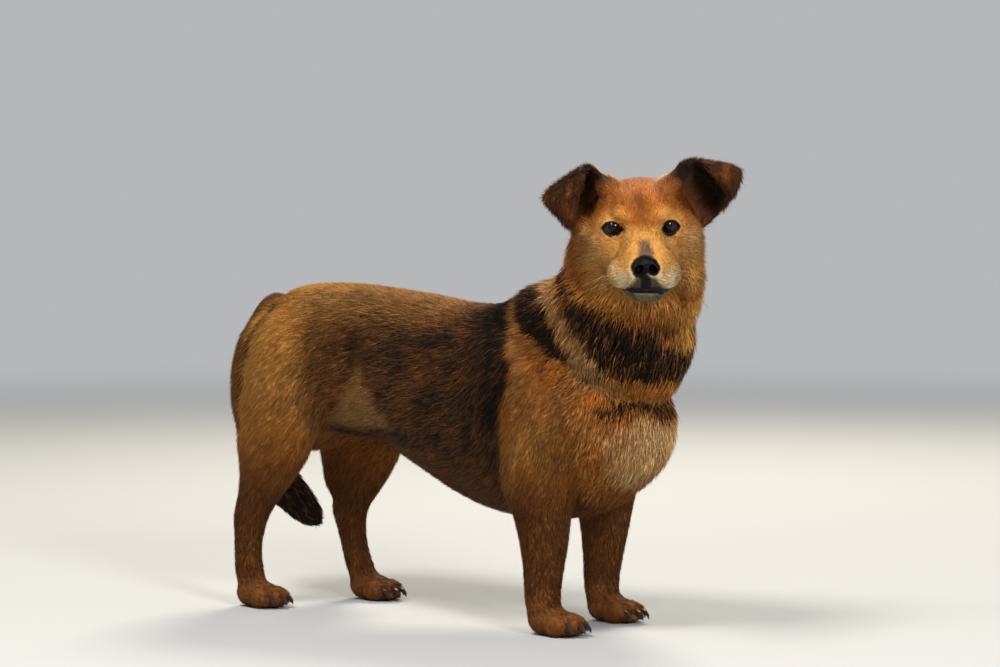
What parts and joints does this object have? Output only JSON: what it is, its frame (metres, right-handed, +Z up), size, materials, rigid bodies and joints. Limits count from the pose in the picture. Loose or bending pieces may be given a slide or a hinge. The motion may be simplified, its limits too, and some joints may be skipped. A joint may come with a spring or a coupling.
{
  "type": "dog",
  "caption": "Standing short-legged mixed-breed dog with folded ears and a hanging tail, its head turned to the right, as a still life-size model.",
  "frame": {"origin": "on the floor, at the middle of the box round the whole animal", "axes": "+X from the rump towards the chest, +Y to the dog's left, +Z up"},
  "size_m": [0.6506, 0.27, 0.4877],
  "materials": {
    "coat_rust": "rust-brown fur with dark tips",
    "coat_saddle": "near-black brown fur flecked with rust",
    "coat_neck": "rust and dark banded ruff",
    "coat_face": "short golden-rust fur, paler on the muzzle",
    "coat_ear": "short chocolate-brown fur",
    "coat_leg": "short reddish-brown fur",
    "nose_leather": "moist black pebbled skin",
    "eye_gloss": "wet, very dark brown",
    "claw_horn": "dark horn"
  },
  "bodies": {
    "root": {"head": "coat_face", "lower_jaw": "coat_face", "nose": "nose_leather", "eye_right": "eye_gloss", "eye_left": "eye_gloss", "ear_right": "coat_ear", "ear_left": "coat_ear", "neck": "coat_neck", "trunk": "coat_saddle", "tail": "coat_rust", "foreleg_right_upper_arm": "coat_rust", "foreleg_right_forearm": "coat_leg", "foreleg_right_paw": "coat_leg", "foreleg_right_claw_1": "claw_horn", "foreleg_right_claw_2": "claw_horn", "foreleg_right_claw_3": "claw_horn", "foreleg_right_claw_4": "claw_horn", "foreleg_left_upper_arm": "coat_rust", "foreleg_left_forearm": "coat_leg", "foreleg_left_paw": "coat_leg", "foreleg_left_claw_1": "claw_horn", "foreleg_left_claw_2": "claw_horn", "foreleg_left_claw_3": "claw_horn", "foreleg_left_claw_4": "claw_horn", "hindleg_right_thigh": "coat_rust", "hindleg_right_shank": "coat_leg", "hindleg_right_paw": "coat_leg", "hindleg_right_claw_1": "claw_horn", "hindleg_right_claw_2": "claw_horn", "hindleg_right_claw_3": "claw_horn", "hindleg_right_claw_4": "claw_horn", "hindleg_left_thigh": "coat_rust", "hindleg_left_shank": "coat_leg", "hindleg_left_paw": "coat_leg", "hindleg_left_claw_1": "claw_horn", "hindleg_left_claw_2": "claw_horn", "hindleg_left_claw_3": "claw_horn", "hindleg_left_claw_4": "claw_horn"}
  },
  "joints": []
}
